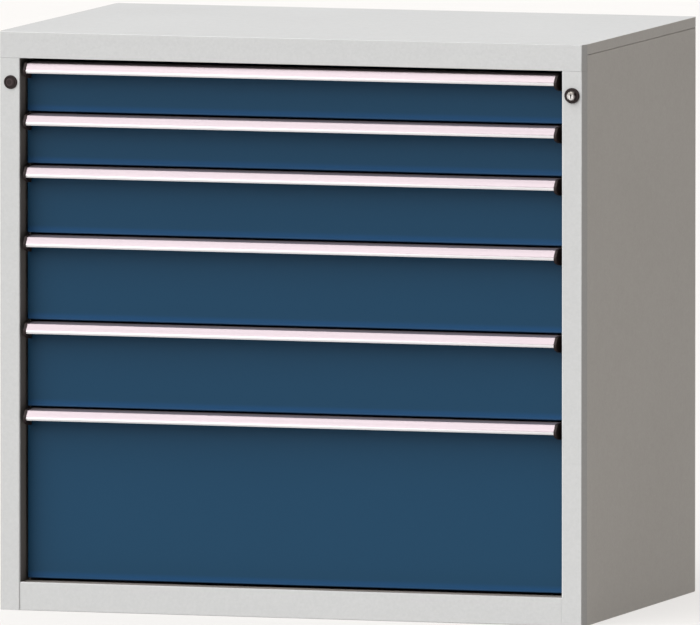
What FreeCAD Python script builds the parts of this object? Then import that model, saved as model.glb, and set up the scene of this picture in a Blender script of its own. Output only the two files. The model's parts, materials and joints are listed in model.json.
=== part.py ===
import FreeCAD, Part
import math
import os
from FreeCAD import Vector

# Modular drawer cabinet: steel housing with six full-extension drawers, aluminium grip strips and a
# quarter-turn key lock that lifts a locking bar.  Millimetres, +Z up, +X to the right seen from the front,
# the front looks towards -Y.  Origin: middle of the bounding box on the floor.

os.makedirs("parts", exist_ok=True)

# ---------------------------------------------------------------- driving dimensions
WIDTH = 1055.0            # overall width of the housing
DEPTH = 680.0             # housing, front plane to back
HEIGHT = 1000.0
LOCK_PROUD = 9.0          # key barrel in front of the housing's front plane

OPEN_HALF = 487.5         # half width of the drawer opening
OPEN_TOP = 955.0          # lower edge of the front skirt
OPEN_BOTTOM = 49.0        # upper edge of the bottom rail
SKIRT = 18.0              # side and back skirts of the top cover
BEVEL_X, BEVEL_Y = 4.6, 18.4      # front corners
REAR_X, REAR_Y = 3.0, 14.0        # rear corners
SEAM = 0.3                # visible joint between housing pieces
SKIRT_SEAM = 0.8          # shadow joint under the cover's side skirt
T_SKIN = 1.5              # panels and cover
T_POST = 2.0              # posts, rails, floor
POST_WEB = 52.0           # depth of the posts' inner walls
EDGE_R = 2.5              # rounding of the posts' inner edges

FRONT_HEIGHTS = (90.0, 90.0, 120.0, 150.0, 150.0, 300.0)   # top to bottom, on a 30 mm grid
STACK_TOP = 947.5         # top of the first grip strip
GAP = 3.9                 # gap between one front and the next grip strip
FOOT_GAP = 4.7            # gap between the lowest front and the bottom rail
FRONT_HALF = 483.0
FRONT_Y = 30.0            # drawer fronts behind the housing's front plane
FRONT_DEEP = 16.0
T_FRONT = 1.5
HEM_R = 1.8               # rounded lower edge of the fronts

GRIP_HALF = 475.0
NOSE_Y, NOSE_Z, NOSE_R = -2.7, -14.2, 3.2      # rounded nose of the grip, from the front plane and the grip's top
LIP_ANGLE = 40.0          # the lip below the nose looks this far down
LIP_Z = -18.5
T_GRIP = 1.8
CAP_T = 4.5               # end caps of the grips
CAP_TOP = 1.0
CAP_BACK = 28.0

TRAY_HALF = 457.0
TRAY_Y0, TRAY_Y1 = 46.0, 646.0
T_TRAY = 1.2
TRAY_UP = 8.0             # tray floor above the front's lower edge
TRAY_DOWN = 14.0          # tray rim below the grip's top
RIM = 7.0                 # outward rim of the side walls, above the rails

RAIL_Y0, RAIL_Y1 = 48.0, 668.0
RAIL_HALF = 23.0          # half height of the fixed rail
RAIL_UP = 33.0            # rail centre above the front's lower edge
T_RAIL = 1.8
RAIL_CLEAR = 0.25

LOCK_X, LOCK_Z = 506.0, 913.0
BARREL_R = 6.0
COLLAR_R = 8.8            # metal cone round the barrel
HOUSING_R = 10.0
ROSETTE_R = 13.25
BLANK_X, BLANK_Z, BLANK_R = -503.8, 913.0, 11.9
PIN_RADIUS = 8.5          # cam pin about the key axis, starts 45 degrees below level
PIN_R = 2.5
LIFT = 2.0 * PIN_RADIUS * math.sin(math.radians(45.0))     # travel of the locking bar

BASE_HOLE_R = 6.5
BASE_HOLE_X, BASE_HOLE_Y0, BASE_HOLE_Y1 = 430.0, 120.0, 600.0

# the lock stands furthest forward, so the box runs from it to the back
Y_SHIFT = LOCK_PROUD - (DEPTH + LOCK_PROUD) / 2.0


# ---------------------------------------------------------------- helpers
def box(x0, x1, y0, y1, z0, z1):
    return Part.makeBox(x1 - x0, y1 - y0, z1 - z0, Vector(x0, y0, z0))


def prism_xy(pts, z0, z1):
    ring = [Vector(x, y, z0) for x, y in pts]
    return Part.Face(Part.makePolygon(ring + ring[:1])).extrude(Vector(0, 0, z1 - z0))


def prism_yz(pts, x0, x1):
    ring = [Vector(x0, y, z) for y, z in pts]
    return Part.Face(Part.makePolygon(ring + ring[:1])).extrude(Vector(x1 - x0, 0, 0))


def cyl_y(x, z, r, y0, y1):
    return Part.makeCylinder(r, y1 - y0, Vector(x, y0, z), Vector(0, 1, 0))


def cyl_x(y, z, r, x0, x1):
    return Part.makeCylinder(r, x1 - x0, Vector(x0, y, z), Vector(1, 0, 0))


def cyl_z(x, y, r, z0, z1):
    return Part.makeCylinder(r, z1 - z0, Vector(x, y, z0), Vector(0, 0, 1))


def cut(a, *others):
    for other in others:
        a = a.cut(other)
    return a


def fuse(a, *others):
    for other in others:
        a = a.fuse(other)
    return a.removeSplitter()


def mirrored(shape):
    return shape.mirror(Vector(0, 0, 0), Vector(1, 0, 0))


def near(p, x=None, y=None, z=None, tol=0.01):
    return ((x is None or abs(p.x - x) < tol) and (y is None or abs(p.y - y) < tol)
            and (z is None or abs(p.z - z) < tol))


def fillet(shape, radius, *spots):
    """Round the straight edges whose two ends both match one of the given places."""
    edges = []
    for e in shape.Edges:
        if len(e.Vertexes) != 2:
            continue
        a, b = e.Vertexes[0].Point, e.Vertexes[1].Point
        for spot in spots:
            if near(a, **spot) and near(b, **spot):
                edges.append(e)
                break
    return shape.makeFillet(radius, edges) if edges else shape


NODES = []


def put(name, *solids):
    """One file for one named piece, or for one group of identical pieces."""
    shape = solids[0] if len(solids) == 1 else Part.makeCompound(list(solids))
    shape = shape.copy()
    shape.translate(Vector(0, Y_SHIFT, 0))
    count = len(shape.Solids)
    bad = [i for i, s in enumerate(shape.Solids) if not s.isValid()]
    shape.exportStep("parts/%s.step" % name)
    NODES.append((name, count, shape.Volume))
    if bad or count != len(solids):
        print("CHECK", name, "solids", count, "expected", len(solids), "invalid", bad)


# ---------------------------------------------------------------- housing
HALF = WIDTH / 2.0
FLAT = HALF - BEVEL_X     # half width of the flat front


def outline(inset=0.0):
    """Plan of the housing with bevelled corners, counter-clockwise."""
    x, d = HALF - inset, DEPTH - inset
    right = [(FLAT - inset * 0.78, inset), (x, BEVEL_Y), (x, DEPTH - REAR_Y), (x - REAR_X, d)]
    return right + [(-px, py) for px, py in reversed(right)]


# top cover: flat top, deep front skirt that wraps the bevelled corners, low side and back skirts
cover = prism_xy(outline(), OPEN_TOP, HEIGHT)
cover = cut(cover, box(-HALF - 1, HALF + 1, BEVEL_Y + 0.6, DEPTH + 1, OPEN_TOP - 1, HEIGHT - SKIRT))
cover = fillet(cover, 1.1, dict(y=0.0, z=HEIGHT), dict(x=FLAT, y=0.0), dict(x=-FLAT, y=0.0))
cover = cut(cover, prism_xy(outline(T_SKIN), OPEN_TOP - 1, HEIGHT - T_SKIN))
put("top_cover", cover)

# channel behind the front skirt that ties the two posts together
head = box(-520.0, 520.0, T_SKIN, 40.0, OPEN_TOP, 996.0)
head = cut(head, box(-521.0, 521.0, T_SKIN + T_POST, 41.0, OPEN_TOP + T_POST, 994.0))
put("front_head_rail", head)


def front_post(flush_foot):
    """Folded corner post, right hand: front face, bevelled outer edge, deep inner wall.  Its inner front edge is
    rounded; with a flush foot it is square beside the bottom rail, so that no groove shows between the two."""
    lap = HALF - T_SKIN
    ring = [(OPEN_HALF, 0), (FLAT, 0), (HALF, BEVEL_Y), (HALF, BEVEL_Y + 0.6), (lap, BEVEL_Y + 0.6),
            (lap, POST_WEB), (OPEN_HALF, POST_WEB)]
    z0 = OPEN_BOTTOM if flush_foot else 0.0
    p = fillet(prism_xy(ring, z0, OPEN_TOP - SEAM), EDGE_R, dict(x=OPEN_HALF, y=0.0))
    if flush_foot:
        p = fuse(p, prism_xy(ring, 0, OPEN_BOTTOM))
    p = fillet(p, 0.6, dict(x=FLAT, y=0.0))
    p = cut(p, prism_xy([(OPEN_HALF + T_POST, T_POST), (FLAT - 1.6, T_POST), (lap - T_POST, 12.0),
                         (lap - T_POST, POST_WEB + 1), (OPEN_HALF + T_POST, POST_WEB + 1)], -1, OPEN_TOP))
    return p


post, post_r = front_post(False), front_post(True)
post_r = cut(post_r, cyl_y(LOCK_X, LOCK_Z, HOUSING_R + 0.1, -1, 5))

# slots in the right post's inner wall for the catches of the locking bar
tops, z = [], STACK_TOP
for h in FRONT_HEIGHTS:
    tops.append(z)
    z -= h
bottoms = [t - h + GAP for t, h in zip(tops, FRONT_HEIGHTS)]
bottoms[-1] = OPEN_BOTTOM + FOOT_GAP
CATCH_UP, CATCH_H = 50.0, 10.0        # catch centre above a front's lower edge, unlocked
BAR_Y0, BAR_Y1 = 39.5, 42.5
for zb in bottoms:
    zc = zb + CATCH_UP
    post_r = cut(post_r, box(OPEN_HALF - 1, OPEN_HALF + 3, BAR_Y0 - 1, BAR_Y1 + 1,
                             zc - CATCH_H / 2 - 1.5, zc + CATCH_H / 2 + LIFT + 1.5))
put("right_front_post", post_r)
put("left_front_post", cut(mirrored(post), cyl_y(BLANK_X, BLANK_Z, HOUSING_R, -1, 5)))

rail = box(-OPEN_HALF, OPEN_HALF, 0, 45.0, 0, OPEN_BOTTOM)
rail = fillet(rail, 1.5, dict(y=0.0, z=OPEN_BOTTOM), dict(y=0.0, z=0.0))
rail = cut(rail, box(-OPEN_HALF - 1, OPEN_HALF + 1, T_POST, 46.0, T_POST, OPEN_BOTTOM - T_POST))
put("front_bottom_rail", rail)


def side_panel():
    """Plain side skin with a set-in strip behind the cover's skirt, right hand."""
    p = box(HALF - T_SKIN, HALF, BEVEL_Y + 0.6 + SEAM, DEPTH - REAR_Y - SEAM, 0, HEIGHT - SKIRT - SKIRT_SEAM)
    return fuse(p, box(HALF - 2 * T_SKIN, HALF - T_SKIN, 55.0, DEPTH - 50.0, HEIGHT - 45.0, HEIGHT - 4.0))


side = side_panel()
put("right_side_panel", side)
put("left_side_panel", mirrored(side))


REAR_LAP = 480.0          # the back panel lies on the rear posts' inner laps


def rear_post():
    """Folded rear corner post, right hand."""
    d, lap = DEPTH, HALF - T_SKIN
    return prism_xy([(HALF, d - REAR_Y), (HALF - REAR_X, d), (495.0, d), (495.0, d - T_SKIN), (REAR_LAP, d - T_SKIN),
                     (REAR_LAP, d - 3.5), (HALF - REAR_X - 2.6, d - 3.5), (lap - 2.0, d - 9.0), (lap - 2.0, d - 45.0),
                     (lap, d - 45.0), (lap, d - REAR_Y)], 0, HEIGHT - SKIRT - SKIRT_SEAM)


rear = rear_post()
put("right_rear_post", rear)
put("left_rear_post", mirrored(rear))

back = box(-495.0 + SEAM, 495.0 - SEAM, DEPTH - T_SKIN, DEPTH, 0, HEIGHT - SKIRT - SKIRT_SEAM)
put("back_panel", back)

# floor pan with upturned sides and four fixing holes to the building floor or a plinth
FLOOR_Y0, FLOOR_Y1 = POST_WEB + 1.0, DEPTH - 47.0
FLOOR_TAIL = REAR_LAP - 2.0           # narrower between the rear posts
pan = fuse(box(-HALF + T_SKIN, HALF - T_SKIN, FLOOR_Y0, FLOOR_Y1, 0, 25.0),
           box(-FLOOR_TAIL, FLOOR_TAIL, FLOOR_Y1 - 1, DEPTH - T_SKIN, 0, 25.0))
pan = cut(pan, box(-HALF + T_SKIN + T_POST, HALF - T_SKIN - T_POST, FLOOR_Y0 - 1, FLOOR_Y1 + 0.1, T_POST, 26.0),
          box(-FLOOR_TAIL - 1, FLOOR_TAIL + 1, FLOOR_Y1 - 1, DEPTH - T_SKIN - T_POST, T_POST, 26.0))
for sx in (-BASE_HOLE_X, BASE_HOLE_X):
    for y in (BASE_HOLE_Y0, BASE_HOLE_Y1):
        pan = cut(pan, cyl_z(sx, y, BASE_HOLE_R, -1, 3))
put("floor_pan", pan)

# four uprights that carry the fixed rails
RAIL_OUT = OPEN_HALF - 0.5            # outer face of the fixed rails
UPRIGHT_Y = ((60.0, 92.0), (590.0, 622.0))
SCREW_R, SCREW_SHANK = 2.5, 6.0


def upright(y0, y1):
    lap = HALF - T_SKIN
    return prism_xy([(RAIL_OUT, y0), (lap, y0), (lap, y1), (lap - 2, y1), (lap - 2, y0 + 2), (RAIL_OUT + 2, y0 + 2),
                     (RAIL_OUT + 2, y1), (RAIL_OUT, y1)], 27.0, 950.0)


rail_z = [zb + RAIL_UP for zb in bottoms]
uprights = []
for y0, y1 in UPRIGHT_Y:
    u = upright(y0, y1)
    ym = (y0 + y1) / 2 + 1.0
    for zc in rail_z:
        u = cut(u, cyl_x(ym, zc, SCREW_R, RAIL_OUT - 1, RAIL_OUT + 3))
    uprights += [u, mirrored(u)]
put("rail_uprights", *uprights)

# ---------------------------------------------------------------- slides
MID_HALF = 17.0                        # half height of the middle rail
INNER_HALF = MID_HALF - T_RAIL - RAIL_CLEAR


def c_rail(x_web0, x_web1, x_open, half, zc, y0=RAIL_Y0, y1=RAIL_Y1):
    """Channel with its web between x_web0 and x_web1 and its flanges running to x_open."""
    lo, hi = min(x_web0, x_open), max(x_web1, x_open)
    c = box(lo, hi, y0, y1, zc - half, zc + half)
    if x_open < x_web0:
        c = cut(c, box(lo - 1, x_web0, y0 - 1, y1 + 1, zc - half + T_RAIL, zc + half - T_RAIL))
    else:
        c = cut(c, box(x_web1, hi + 1, y0 - 1, y1 + 1, zc - half + T_RAIL, zc + half - T_RAIL))
    return c


screws, blocks, fixed = [], [], []
MID_OUT = RAIL_OUT - T_RAIL - 2.4      # outer face of the middle rail
for zc in rail_z:
    f = c_rail(RAIL_OUT - T_RAIL, RAIL_OUT, RAIL_OUT - 14.0, RAIL_HALF, zc)
    for y0, y1 in UPRIGHT_Y:
        ym = (y0 + y1) / 2 + 1.0
        f = cut(f, cyl_x(ym, zc, SCREW_R, RAIL_OUT - T_RAIL - 1, RAIL_OUT + 1))
        s = fuse(cyl_x(ym, zc, 4.5, RAIL_OUT - T_RAIL - 1.5, RAIL_OUT - T_RAIL),
                 cyl_x(ym, zc, SCREW_R - 0.05, RAIL_OUT - T_RAIL, RAIL_OUT - T_RAIL + SCREW_SHANK))
        screws += [s, mirrored(s)]
    fixed.append(f)
    for sign in (1, -1):
        a, b = zc + sign * (MID_HALF + RAIL_CLEAR), zc + sign * (RAIL_HALF - T_RAIL)
        k = box(RAIL_OUT - 13.5, RAIL_OUT - T_RAIL - 3.0, RAIL_Y0 + 2, RAIL_Y0 + 62, min(a, b), max(a, b))
        blocks += [k, mirrored(k)]
put("right_fixed_rails", *fixed)
put("left_fixed_rails", *[mirrored(f) for f in fixed])
put("rail_screws", *screws)
put("slide_bearing_blocks", *blocks)

# ---------------------------------------------------------------- drawers
# grip strip section, y back from the housing's front plane, z from the grip's top
def around_nose(radius, angle):
    """Point on a circle about the nose's centre; 0 degrees looks forward, positive looks up."""
    t = math.radians(angle)
    return (NOSE_Y - radius * math.cos(t), NOSE_Z + radius * math.sin(t))


def leave_nose(radius, point):
    """Angle at which a straight line to the given point leaves the top of that circle."""
    dy, dz = point[0] - NOSE_Y, point[1] - NOSE_Z
    return 180.0 - math.degrees(math.atan2(dz, dy) + math.acos(radius / math.hypot(dy, dz)))


def lip_end(radius):
    """End of the lip that runs down and back from the nose."""
    y, z = around_nose(radius, -LIP_ANGLE)
    run = (z - LIP_Z) / math.cos(math.radians(LIP_ANGLE))
    return (y + run * math.sin(math.radians(LIP_ANGLE)), LIP_Z)


FACE_TOP, FACE_IN = (4.0, -1.8), (4.9, -3.7)
UP_OUT, UP_IN = leave_nose(NOSE_R, FACE_TOP), leave_nose(NOSE_R - T_GRIP, FACE_IN)


def grip(zt):
    def v(p):
        return Vector(-GRIP_HALF, p[0], zt + p[1])

    def line(*pts):
        return [Part.LineSegment(v(a), v(b)).toShape() for a, b in zip(pts, pts[1:])]

    def arc(radius, a, b):
        return [Part.Arc(*[v(around_nose(radius, t)) for t in (a, (a + b) / 2, b)]).toShape()]

    r_in = NOSE_R - T_GRIP
    edges = line((44.0, 0.0), (30.0, 0.0), FACE_TOP, around_nose(NOSE_R, UP_OUT))
    edges += arc(NOSE_R, UP_OUT, -LIP_ANGLE)
    edges += line(around_nose(NOSE_R, -LIP_ANGLE), lip_end(NOSE_R), lip_end(r_in), around_nose(r_in, -LIP_ANGLE))
    edges += arc(r_in, -LIP_ANGLE, UP_IN)
    edges += line(around_nose(r_in, UP_IN), FACE_IN, (28.2, -2.1), (28.2, -20.0), (30.0, -20.0), (30.0, -2.0),
                  (44.0, -2.0), (44.0, 0.0))
    return Part.Face(Part.Wire(edges)).extrude(Vector(2 * GRIP_HALF, 0, 0))


# side view of the end caps: over the strip's nose, then sloping down and back
CAP_PROFILE = [(CAP_BACK, CAP_TOP), (3.4, -0.6), (-6.7, -12.4), (-6.7, -17.2), (-2.5, -22.6), (14.0, -27.6),
               (CAP_BACK, -29.3)]


def end_cap(zt):
    """Closing plate of the grip strip, right hand."""
    c = prism_yz([(y, zt + z) for y, z in CAP_PROFILE], GRIP_HALF, GRIP_HALF + CAP_T)
    for (y, z), radius in zip(CAP_PROFILE, (3.0, 4.0, 3.0, 3.0, 5.0, 8.0, 3.0)):
        c = fillet(c, radius, dict(y=y, z=zt + z))
    return c


def front_panel(zt, zb):
    """Folded drawer front, open to the back, with the catch that the locking bar stops on its right edge."""
    y1, top = FRONT_Y + FRONT_DEEP, zt - 2.0
    f = box(-FRONT_HALF, FRONT_HALF, FRONT_Y, y1, zb, top)
    f = fillet(f, HEM_R, dict(y=FRONT_Y, z=zb))
    f = fillet(f, 1.4, dict(x=FRONT_HALF, y=FRONT_Y), dict(x=-FRONT_HALF, y=FRONT_Y))
    f = cut(f, box(-FRONT_HALF + T_FRONT, FRONT_HALF - T_FRONT, FRONT_Y + T_FRONT, y1 + 1, zb + T_FRONT, top - T_FRONT))
    zc = zb + CATCH_UP + CATCH_H / 2 + 3.0
    return fuse(f, box(FRONT_HALF - T_FRONT, FRONT_HALF + 3.2, y1 - 2.0, y1, zc, zc + CATCH_H))


def tray(zt, zb):
    """Folded drawer body: floor, four walls, side walls with an outward rim."""
    z0, z1 = zb + TRAY_UP, zt - TRAY_DOWN
    t = box(-TRAY_HALF, TRAY_HALF, TRAY_Y0, TRAY_Y1, z0, z1)
    t = cut(t, box(-TRAY_HALF + T_TRAY, TRAY_HALF - T_TRAY, TRAY_Y0 + T_TRAY, TRAY_Y1 - T_TRAY, z0 + T_TRAY, z1 + 1))
    return fuse(t, box(TRAY_HALF - T_TRAY, TRAY_HALF + RIM, TRAY_Y0, TRAY_Y1, z1 - T_TRAY, z1),
                box(-TRAY_HALF - RIM, -TRAY_HALF + T_TRAY, TRAY_Y0, TRAY_Y1, z1 - T_TRAY, z1))


for n, (zt, zb, zc) in enumerate(zip(tops, bottoms, rail_z), 1):
    put("drawer_%d_front" % n, front_panel(zt, zb))
    put("drawer_%d_tray" % n, tray(zt, zb))
    put("drawer_%d_grip" % n, grip(zt))
    cap = end_cap(zt)
    put("drawer_%d_grip_end_caps" % n, cap, mirrored(cap))
    # the drawer's own rail: web against the tray wall, flanges outwards into the middle rail
    r = c_rail(TRAY_HALF, TRAY_HALF + T_RAIL, MID_OUT - T_RAIL - 2.4, INNER_HALF, zc, RAIL_Y0, TRAY_Y1)
    put("drawer_%d_inner_rails" % n, r, mirrored(r))
    m = c_rail(MID_OUT - T_RAIL, MID_OUT, MID_OUT - 14.0, MID_HALF, zc)
    put("drawer_%d_middle_rails" % n, m, mirrored(m))

# ---------------------------------------------------------------- lock
def outer_rim(shape, radius, y):
    return [e for e in shape.Edges if abs(e.Length - 2 * math.pi * radius) < 0.01 and near(e.CenterOfMass, y=y)]


house = fuse(cyl_y(LOCK_X, LOCK_Z, ROSETTE_R, -4.0, 0.0), cyl_y(LOCK_X, LOCK_Z, HOUSING_R, 0.0, 30.0))
house = house.makeFillet(1.8, outer_rim(house, ROSETTE_R, -4.0))
house = cut(house, cyl_y(LOCK_X, LOCK_Z, BARREL_R + 0.05, -5, 31))
put("lock_housing", house)

# metal cone between the rosette and the barrel's face
collar = Part.makeCone(COLLAR_R, 6.9, 4.4, Vector(LOCK_X, -4.0, LOCK_Z), Vector(0, -1, 0))
collar = collar.makeFillet(0.5, outer_rim(collar, 6.9, -8.4))
put("lock_collar", cut(collar, cyl_y(LOCK_X, LOCK_Z, BARREL_R + 0.05, -9, -3)))

barrel = cyl_y(LOCK_X, LOCK_Z, BARREL_R, -LOCK_PROUD, 34.0)
barrel = barrel.makeFillet(0.7, outer_rim(barrel, BARREL_R, -LOCK_PROUD))
barrel = cut(barrel, box(LOCK_X - 0.7, LOCK_X + 0.7, -LOCK_PROUD - 1, 6.0, LOCK_Z - 4.6, LOCK_Z + 1.4),
             cyl_y(LOCK_X, LOCK_Z + 1.2, 1.5, -LOCK_PROUD - 1, 6.0))
put("lock_barrel", barrel)

PIN_X = LOCK_X - PIN_RADIUS * math.cos(math.radians(45.0))
PIN_Z = LOCK_Z - PIN_RADIUS * math.sin(math.radians(45.0))
cam = fuse(cyl_y(LOCK_X, LOCK_Z, 11.5, 34.0, 37.0), cyl_y(PIN_X, PIN_Z, PIN_R, 37.0, 44.0))
put("lock_cam", cam)

# locking bar: flat bar with one catch for each drawer and a level slot that the cam pin lifts
BAR_X0, BAR_X1 = 492.0, 512.0
bar = box(BAR_X0, BAR_X1, BAR_Y0, BAR_Y1, 62.0, 930.0)
for zb in bottoms:
    zc = zb + CATCH_UP
    bar = fuse(bar, box(OPEN_HALF - 3.2, BAR_X0 + 1, BAR_Y0, BAR_Y1, zc - CATCH_H / 2, zc + CATCH_H / 2))
bar = cut(bar, box(LOCK_X - PIN_RADIUS - PIN_R - 1.0, LOCK_X - 2.0, BAR_Y0 - 1, BAR_Y1 + 1,
                   PIN_Z - PIN_R - 0.6, PIN_Z + PIN_R + 0.6))
put("locking_bar", bar)

guides = []
for zg in (215.0, 745.0):
    g = box(OPEN_HALF + T_POST, BAR_X1 + 3.0, BAR_Y0 - 3.0, BAR_Y1 + 3.0, zg, zg + 30.0)
    g = cut(g, box(BAR_X0 - 0.4, BAR_X1 + 0.4, BAR_Y0 - 0.4, BAR_Y1 + 0.4, zg - 1, zg + 31.0))
    guides.append(g)
put("locking_bar_guides", *guides)

# round blanking cap in the left post: thin flange with a groove round its middle
cap = fuse(cyl_y(BLANK_X, BLANK_Z, BLANK_R, -2.0, 0.0), cyl_y(BLANK_X, BLANK_Z, HOUSING_R - 0.1, 0.0, 9.0))
cap = cap.makeFillet(1.2, outer_rim(cap, BLANK_R, -2.0))
ring = cut(cyl_y(BLANK_X, BLANK_Z, 9.2, -3.0, -0.9), cyl_y(BLANK_X, BLANK_Z, 7.6, -4.0, 0.0))
cap = cut(cap, ring, cyl_y(BLANK_X, BLANK_Z, 7.9, 1.5, 10.0))
put("blank_cap", cap)

print(len(NODES), "nodes")
print("bar lift", round(LIFT, 4), "tops", tops, "bottoms", bottoms)
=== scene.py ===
import bpy
import bmesh
import json
import math
from mathutils import Matrix, Vector

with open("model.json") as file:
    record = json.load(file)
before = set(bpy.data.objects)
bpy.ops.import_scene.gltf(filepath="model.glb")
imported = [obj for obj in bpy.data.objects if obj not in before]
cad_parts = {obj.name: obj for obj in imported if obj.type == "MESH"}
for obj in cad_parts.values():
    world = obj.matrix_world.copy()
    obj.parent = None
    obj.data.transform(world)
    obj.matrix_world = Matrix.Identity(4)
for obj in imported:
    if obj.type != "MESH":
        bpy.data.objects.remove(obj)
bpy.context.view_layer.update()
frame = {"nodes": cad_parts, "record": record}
NODES = frame["nodes"]

FRONT = -0.3355                     # the housing's front plane
HEIGHTS = (0.090, 0.090, 0.120, 0.150, 0.150, 0.300)


# ------------------------------------------------------------------ node helpers
class Tree:
    """Small helper around one material's node tree."""

    def __init__(self, name):
        self.mat = bpy.data.materials.new(name)
        self.mat.use_nodes = True
        self.t = self.mat.node_tree
        self.t.nodes.clear()
        self.out = self.t.nodes.new("ShaderNodeOutputMaterial")
        self.p = self.t.nodes.new("ShaderNodeBsdfPrincipled")
        self.t.links.new(self.p.outputs["BSDF"], self.out.inputs["Surface"])
        self.co = self.t.nodes.new("ShaderNodeTexCoord").outputs["Object"]

    def link(self, a, b):
        self.t.links.new(a, b)

    def stretched(self, scale, vector=None):
        n = self.t.nodes.new("ShaderNodeMapping")
        n.inputs["Scale"].default_value = scale
        self.link(vector or self.co, n.inputs["Vector"])
        return n.outputs["Vector"]

    def noise(self, scale, detail=2.0, rough=0.5, vector=None):
        n = self.t.nodes.new("ShaderNodeTexNoise")
        n.inputs["Scale"].default_value = scale
        n.inputs["Detail"].default_value = detail
        n.inputs["Roughness"].default_value = rough
        self.link(vector or self.co, n.inputs["Vector"])
        return n.outputs["Fac"]

    def cells(self, scale, vector=None, output="Color"):
        n = self.t.nodes.new("ShaderNodeTexVoronoi")
        n.inputs["Scale"].default_value = scale
        self.link(vector or self.co, n.inputs["Vector"])
        return n.outputs[output]

    def ramp(self, fac, lo, hi, a, b):
        n = self.t.nodes.new("ShaderNodeMapRange")
        n.inputs["From Min"].default_value = lo
        n.inputs["From Max"].default_value = hi
        n.inputs["To Min"].default_value = a
        n.inputs["To Max"].default_value = b
        self.link(fac, n.inputs["Value"])
        return n.outputs["Result"]

    def math(self, op, a, b):
        n = self.t.nodes.new("ShaderNodeMath")
        n.operation = op
        for i, v in enumerate((a, b)):
            if isinstance(v, (int, float)):
                n.inputs[i].default_value = v
            else:
                self.link(v, n.inputs[i])
        return n.outputs["Value"]

    def mix(self, fac, a, b, blend="MIX"):
        n = self.t.nodes.new("ShaderNodeMix")
        n.data_type = "RGBA"
        n.blend_type = blend
        if isinstance(fac, (int, float)):
            n.inputs["Factor"].default_value = fac
        else:
            self.link(fac, n.inputs["Factor"])
        for key, v in (("A", a), ("B", b)):
            sock = [s for s in n.inputs if s.name == key and s.type == "RGBA"][0]
            if isinstance(v, tuple):
                sock.default_value = (*v, 1.0)
            else:
                self.link(v, sock)
        return [s for s in n.outputs if s.type == "RGBA"][0]

    def radius(self, centre):
        """Distance from an axis that runs front to back through centre."""
        sub = self.t.nodes.new("ShaderNodeVectorMath")
        sub.operation = "SUBTRACT"
        self.link(self.co, sub.inputs[0])
        sub.inputs[1].default_value = centre
        length = self.t.nodes.new("ShaderNodeVectorMath")
        length.operation = "LENGTH"
        self.link(self.stretched((1.0, 0.0, 1.0), sub.outputs["Vector"]), length.inputs[0])
        return length.outputs["Value"]

    def bump(self, height, strength, distance, normal=None):
        n = self.t.nodes.new("ShaderNodeBump")
        n.inputs["Strength"].default_value = strength
        n.inputs["Distance"].default_value = distance
        self.link(height, n.inputs["Height"])
        if normal is not None:
            self.link(normal, n.inputs["Normal"])
        return n.outputs["Normal"]


def scaled(c, k):
    return tuple(min(1.0, v * k) for v in c)


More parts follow.
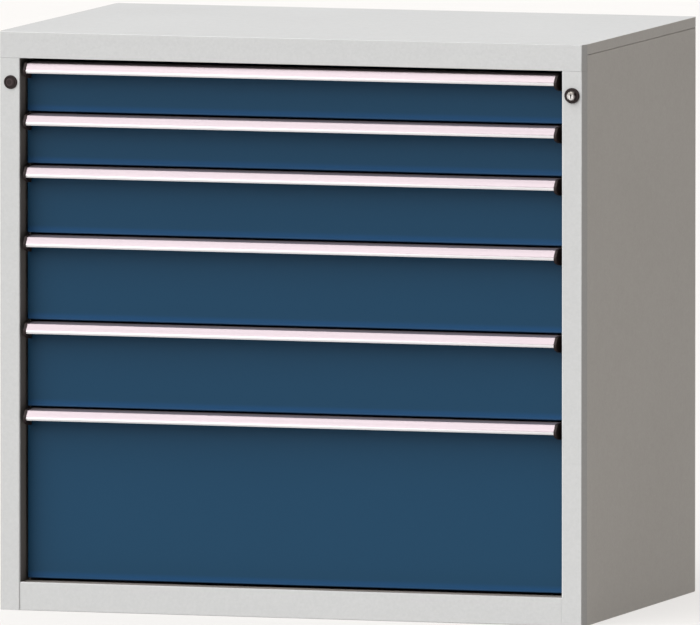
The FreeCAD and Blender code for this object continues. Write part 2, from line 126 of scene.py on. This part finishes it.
def powder_coat(name, base, rough, spec, speckle=0.045, tone=0.010, peel=0.12, hem_painted_light=None, recess_painted_shade=None,
                corner_painted_shade=None):
    """Smooth powder coat: a faint cloudy tone, fine speckle and shallow orange peel.  hem_painted_light is painted
    bounce
    light above a folded lower edge, a brighter and more saturated band with a painted highlight on its lowest edge:
    (z, reach, colour of the band, colour of the highlight).  recess_painted_shade is painted shade on the faces behind
    the front plane and inside the opening: (half width, depth, colour).  corner_painted_shade is painted shade on the
    bevelled front corners: (half width, depth, colour), and with it the outer side faces get a darker, warmer painted
    shade."""
    m = Tree(name)
    cloud = m.ramp(m.noise(2.2, 3.0), 0.35, 0.65, 1.0 - tone, 1.0 + tone)
    fine = m.ramp(m.noise(210.0, 3.0, 0.7), 0.28, 0.72, 1.0 - speckle, 1.0 + speckle)
    k = m.math("MULTIPLY", cloud, fine)
    grey = m.t.nodes.new("ShaderNodeCombineColor")
    for s in ("Red", "Green", "Blue"):
        m.link(k, grey.inputs[s])
    col = base
    # painted bounce light: a brighter, more saturated band above the folded lower edge
    if hem_painted_light:
        split = m.t.nodes.new("ShaderNodeSeparateXYZ")
        m.link(m.co, split.inputs["Vector"])
        hem_bounce_mask = m.ramp(split.outputs["Z"], hem_painted_light[0] + hem_painted_light[1], hem_painted_light[0] + 0.45 * hem_painted_light[1], 0.0, 1.0)
        col = m.mix(hem_bounce_mask, base, hem_painted_light[2])
        # painted highlight along the lowest edge
        hem_highlight_mask = m.ramp(split.outputs["Z"], hem_painted_light[0] + 0.0042, hem_painted_light[0] + 0.0022, 0.0, 1.0)
        col = m.mix(hem_highlight_mask, col, hem_painted_light[3])
    if recess_painted_shade or corner_painted_shade:
        split = m.t.nodes.new("ShaderNodeSeparateXYZ")
        m.link(m.co, split.inputs["Vector"])
        across = m.math("ABSOLUTE", split.outputs["X"], 0.0)
    # painted shade: the outer side faces get a darker, warmer copy of the coat, and the bevelled front corners a darker
    # tone
    if corner_painted_shade:
        col = m.mix(m.ramp(across, 0.5269, 0.5272, 0.0, 1.0), col, (0.3600, 0.3430, 0.3220))
        outside = m.ramp(across, corner_painted_shade[0], corner_painted_shade[0] + 0.0003, 0.0, 1.0)
        before = m.ramp(split.outputs["Y"], FRONT + corner_painted_shade[1] + 0.0002, FRONT + corner_painted_shade[1], 0.0, 1.0)
        col = m.mix(m.math("MULTIPLY", outside, before), col, corner_painted_shade[2])
    # painted shade: faces behind the front plane and inside the opening get a much darker colour
    if recess_painted_shade:
        inside = m.ramp(across, recess_painted_shade[0] + 0.0004, recess_painted_shade[0], 0.0, 1.0)
        behind = m.ramp(split.outputs["Y"], FRONT + recess_painted_shade[1], FRONT + recess_painted_shade[1] + 0.0012, 0.0, 1.0)
        col = m.mix(m.math("MULTIPLY", inside, behind), col, recess_painted_shade[2])
    m.link(m.mix(1.0, col, grey.outputs["Color"], "MULTIPLY"), m.p.inputs["Base Color"])
    r = m.math("ADD", m.ramp(m.noise(60.0, 3.0), 0.3, 0.7, -0.035, 0.035), m.ramp(m.noise(4.0, 2.0), 0.3, 0.7, rough - 0.02, rough + 0.02))
    m.link(r, m.p.inputs["Roughness"])
    m.p.inputs["Specular IOR Level"].default_value = spec
    m.link(m.bump(m.noise(720.0, 2.0, 0.55), peel, 0.00012), m.p.inputs["Normal"])
    return m.mat


def drawn_aluminium(name):
    """Satin anodised strip with fine die lines along X; its nose and downward faces get a near-white base, a painted
    reflection of the floor below.
    """
    m = Tree(name)
    lines = m.noise(1.0, 4.0, 0.6, m.stretched((3.0, 2600.0, 2600.0)))
    broad = m.noise(1.0, 2.0, 0.5, m.stretched((0.8, 420.0, 420.0)))
    patch = m.noise(26.0, 2.0)
    col = m.mix(m.ramp(lines, 0.3, 0.7, 0.0, 1.0), (0.308, 0.262, 0.279), (0.340, 0.291, 0.309))
    col = m.mix(m.ramp(patch, 0.3, 0.7, 0.0, 0.10), col, (0.296, 0.254, 0.270))
    # painted reflection of the bright floor: the nose and the faces turned downward get a near-white base
    up = m.t.nodes.new("ShaderNodeSeparateXYZ")
    m.link(m.t.nodes.new("ShaderNodeNewGeometry").outputs["Normal"], up.inputs["Vector"])
    edge = m.mix(m.ramp(lines, 0.3, 0.7, 0.0, 1.0), (0.84, 0.83, 0.84), (0.91, 0.90, 0.91))
    m.link(m.mix(m.ramp(up.outputs["Z"], 0.40, -0.10, 0.0, 1.0), col, edge), m.p.inputs["Base Color"])
    m.p.inputs["Metallic"].default_value = 0.92
    m.link(m.math("ADD", m.ramp(lines, 0.3, 0.7, 0.47, 0.54), m.ramp(broad, 0.3, 0.7, -0.02, 0.03)), m.p.inputs["Roughness"])
    m.link(m.bump(lines, 0.12, 0.00006), m.p.inputs["Normal"])
    return m.mat


def moulded_plastic(name, base, rough, ring=None):
    """Fine-grained black moulding.  ring paints a paler band in a groove round an axis, a painted highlight: (centre,
    radii, colour).
    """
    m = Tree(name)
    grain = m.noise(1500.0, 3.0, 0.6)
    tone = m.ramp(m.noise(35.0, 2.0), 0.3, 0.7, 0.0, 1.0)
    col = m.mix(tone, scaled(base, 0.86), scaled(base, 1.18))
    col = m.mix(m.ramp(grain, 0.45, 0.75, 0.0, 0.22), col, scaled(base, 1.8))
    # painted highlight: a paler band in the groove round the axis
    if ring:
        radius = m.radius(ring[0])
        inside = m.ramp(radius, ring[1][0] - 0.0003, ring[1][0] + 0.0003, 0.0, 1.0)
        outside = m.ramp(radius, ring[1][1] + 0.0003, ring[1][1] - 0.0003, 0.0, 1.0)
        col = m.mix(m.math("MULTIPLY", inside, outside), col, ring[2])
    m.link(col, m.p.inputs["Base Color"])
    m.link(m.ramp(grain, 0.3, 0.7, rough - 0.05, rough + 0.07), m.p.inputs["Roughness"])
    m.p.inputs["Specular IOR Level"].default_value = 0.16
    m.link(m.bump(grain, 0.16, 0.00008), m.p.inputs["Normal"])
    return m.mat


def bright_plate(name, centre):
    """Nickel plate with turning marks round the key's axis, with painted shade above and at the right."""
    m = Tree(name)
    comb = m.t.nodes.new("ShaderNodeCombineXYZ")
    m.link(m.radius(centre), comb.inputs["X"])
    rings = m.noise(3500.0, 2.0, 0.6, comb.outputs["Vector"])
    specks = m.noise(700.0, 2.0)
    col = m.mix(m.ramp(specks, 0.35, 0.7, 0.0, 1.0), (0.56, 0.535, 0.52), (0.70, 0.675, 0.655))
    place = m.t.nodes.new("ShaderNodeSeparateXYZ")
    m.link(m.co, place.inputs["Vector"])
    # painted shade: darker above the key's axis and much darker to its right
    col = m.mix(m.ramp(place.outputs["Z"], centre[2] + 0.0006, centre[2] + 0.0034, 0.0, 0.80), col, (0.20, 0.18, 0.155))
    col = m.mix(m.ramp(place.outputs["X"], centre[0] + 0.0036, centre[0] + 0.0066, 0.0, 0.92), col, (0.045, 0.033, 0.031))
    m.link(col, m.p.inputs["Base Color"])
    m.p.inputs["Metallic"].default_value = 1.0
    m.link(m.ramp(rings, 0.3, 0.7, 0.24, 0.36), m.p.inputs["Roughness"])
    m.link(m.bump(rings, 0.10, 0.00005), m.p.inputs["Normal"])
    return m.mat


def zinc(name):
    """Bright zinc plate: small spangle, light scratches along the slides."""
    m = Tree(name)
    spangle = m.cells(190.0)
    scratch = m.noise(1.0, 3.0, 0.6, m.stretched((900.0, 6.0, 900.0)))
    col = m.mix(m.ramp(spangle, 0.0, 1.0, 0.0, 1.0), (0.60, 0.62, 0.65), (0.72, 0.74, 0.77))
    col = m.mix(m.ramp(scratch, 0.58, 0.72, 0.0, 0.35), col, (0.82, 0.83, 0.85))
    m.link(col, m.p.inputs["Base Color"])
    m.p.inputs["Metallic"].default_value = 1.0
    m.link(m.ramp(m.noise(240.0, 2.0), 0.3, 0.7, 0.28, 0.42), m.p.inputs["Roughness"])
    m.link(m.bump(scratch, 0.08, 0.00006), m.p.inputs["Normal"])
    return m.mat


# the side panels and every other grey part outside the front frame get a darker, warmer copy of the front frame's coat:
# painted side shade
GREY = powder_coat("light_grey_powder_coat", (0.3570, 0.3390, 0.3160), 0.50, 0.12)
# painted shade for the bevelled front corners: (half width, depth, colour)
CORNER_PAINTED_SHADE = (0.5233, 0.0188, (0.322, 0.317, 0.310))
# the front frame's coat, with painted shade inside the opening and on the bevelled front corners
POST_GREY = powder_coat("light_grey_powder_coat_posts", (0.385, 0.3865, 0.3845), 0.50, 0.12,
                        recess_painted_shade=(0.4885, 0.0026, (0.175, 0.158, 0.143)), corner_painted_shade=CORNER_PAINTED_SHADE)
# the top cover's coat, with the same painted shade on its bevelled ends and outer sides
COVER_GREY = powder_coat("light_grey_powder_coat_cover", (0.382, 0.3835, 0.3825), 0.50, 0.12, corner_painted_shade=CORNER_PAINTED_SHADE)
FRAME_PAINT = {"left_front_post": POST_GREY, "right_front_post": POST_GREY, "front_bottom_rail": POST_GREY,
               "top_cover": COVER_GREY, "front_head_rail": COVER_GREY}
BLUE = (0.0033, 0.0322, 0.0697)
# painted bounce light: the brighter band above each front's folded lower edge, and a painted highlight on that edge
HEM_PAINTED_BOUNCE = (0.0036, 0.0405, 0.1075)
HEM_EDGE_PAINTED_HIGHLIGHT = (0.0110, 0.0460, 0.1060)
z, FRONT_PAINT = 0.9475, {}
for n, h in enumerate(HEIGHTS, 1):
    z -= h
    foot = z + 0.0039 if n < 6 else 0.0537
    # each front gets its own copy of the blue coat, with painted bounce light and a painted highlight at its own lower
    # edge
    FRONT_PAINT["drawer_%d_front" % n] = powder_coat("blue_powder_coat_%d" % n, BLUE, 0.46, 0.14, speckle=0.010, tone=0.008,
                                                     hem_painted_light=(foot, 0.013, HEM_PAINTED_BOUNCE, HEM_EDGE_PAINTED_HIGHLIGHT))
ALU = drawn_aluminium("anodised_strip")
BLACK = moulded_plastic("black_moulding", (0.0140, 0.0088, 0.0082), 0.56)
# the blank cap's moulding, with a painted highlight ring round its axis
CAP = moulded_plastic("black_cap", (0.0150, 0.0094, 0.0090), 0.50, ring=((-0.506, FRONT, 0.913), (0.0045, 0.0062), (0.036, 0.024, 0.025)))
PLATE = bright_plate("lock_plate", (0.506, FRONT, 0.913))
ZINC = zinc("zinc_plate")
BY_SLOT = {"light_grey_paint": GREY, "blue_paint": FRONT_PAINT["drawer_1_front"], "anodised_aluminium": ALU, "black_plastic": BLACK,
           "bright_metal": PLATE, "zinc_steel": ZINC}


# ------------------------------------------------------------------ CAD nodes: finish and softened edges
slots = {s["node"]: s["material_slot"] for s in frame["record"]["subparts"]}
SOFT = {"light_grey_paint": 0.0005, "blue_paint": 0.0006, "anodised_aluminium": 0.00025, "black_plastic": 0.0005}
for name, ob in NODES.items():
    s = slots[name]
    ob.data.materials.clear()
    ob.data.materials.append(FRAME_PAINT.get(name) or FRONT_PAINT.get(name) or (CAP if name == "blank_cap" else BY_SLOT[s]))
    if s in SOFT:
        w = ob.modifiers.new("join", "WELD")
        w.merge_threshold = 0.00001
        b = ob.modifiers.new("soft_edges", "BEVEL")
        b.width = SOFT[s]
        b.segments = 2
        b.limit_method = "ANGLE"
        b.angle_limit = math.radians(35)
        b.harden_normals = True


# ------------------------------------------------------------------ floor, light, camera
def floor():
    me = bpy.data.meshes.new("floor")
    bm = bmesh.new()
    n, size = 24, 90.0
    bmesh.ops.create_grid(bm, x_segments=n, y_segments=n, size=size)
    bm.to_mesh(me)
    bm.free()
    ob = bpy.data.objects.new("floor", me)
    bpy.context.scene.collection.objects.link(ob)
    ob.location = (0, 0, -0.0002)
    m = Tree("pale_floor")
    col = m.mix(m.ramp(m.noise(1.3, 3.0), 0.3, 0.7, 0.0, 1.0), (0.157, 0.153, 0.149), (0.163, 0.159, 0.155))
    m.link(col, m.p.inputs["Base Color"])
    m.link(m.ramp(m.noise(40.0, 2.0), 0.3, 0.7, 0.85, 0.95), m.p.inputs["Roughness"])
    m.p.inputs["Specular IOR Level"].default_value = 0.1
    # an underlit table: most of its light comes through from below, so shadows on it stay faint
    m.p.inputs["Emission Color"].default_value = (1.0, 0.982, 0.962, 1.0)
    m.p.inputs["Emission Strength"].default_value = 0.645
    if hasattr(m.mat, "cycles"):
        m.mat.cycles.emission_sampling = "NONE"
    me.materials.append(m.mat)


floor()


def sun(name, toward, strength, spread, color=(1, 1, 1)):
    """Distant soft light; toward points from the object to the light."""
    data = bpy.data.lights.new(name, "SUN")
    data.energy = strength
    data.angle = spread
    data.color = color
    ob = bpy.data.objects.new(name, data)
    ob.rotation_mode = "QUATERNION"
    ob.rotation_quaternion = Vector(toward).to_track_quat("Z", "Y")
    bpy.context.scene.collection.objects.link(ob)


def direction(azimuth, elevation):
    a, e = math.radians(azimuth), math.radians(elevation)
    return (math.sin(a) * math.cos(e), -math.cos(a) * math.cos(e), math.sin(e))


LIGHTS = [
    ("key", -35, 36, 1.612, 1.2, (1, 1, 1)),
    ("overhead", 180, 84, 1.102, 1.3, (1, 1, 1)),
    ("side", 95, 45, 0.035, 1.2, (1.0, 0.60, 0.30)),
]
WORLD = (0.025, 0.025, 0.025)
for light, az, el, level, spread, tint in LIGHTS:
    sun(light, direction(az, el), level * math.pi, spread, tint)

world = bpy.data.worlds.new("studio")
bpy.context.scene.world = world
world.use_nodes = True
bg = world.node_tree.nodes["Background"]
bg.inputs["Color"].default_value = (*WORLD, 1.0)
bg.inputs["Strength"].default_value = 1.0

# the photograph is close to a parallel projection: a very long lens from far away
AZ, EL, LENS = 17.2112, 4.9187, 1530.0
U, V, DIST = 0.003835, 0.498149, 51.4713
a, e = math.radians(AZ), math.radians(EL)
back = Vector((math.sin(a) * math.cos(e), -math.cos(a) * math.cos(e), math.sin(e)))
right = Vector((math.cos(a), math.sin(a), 0))
up = back.cross(right)
cam_data = bpy.data.cameras.new("camera")
cam_data.lens = LENS
cam_data.sensor_width = 36.0
cam_data.clip_start, cam_data.clip_end = 1.0, 400.0
cam = bpy.data.objects.new("camera", cam_data)
cam.matrix_world = Matrix.Translation(right * U + up * V + back * DIST) @ Matrix((right, up, back)).transposed().to_4x4()
bpy.context.scene.collection.objects.link(cam)
bpy.context.scene.camera = cam

scene = bpy.context.scene
scene.view_settings.view_transform = "Standard"
scene.view_settings.look = "None"
scene.view_settings.exposure = 0.0
scene.view_settings.gamma = 1.0
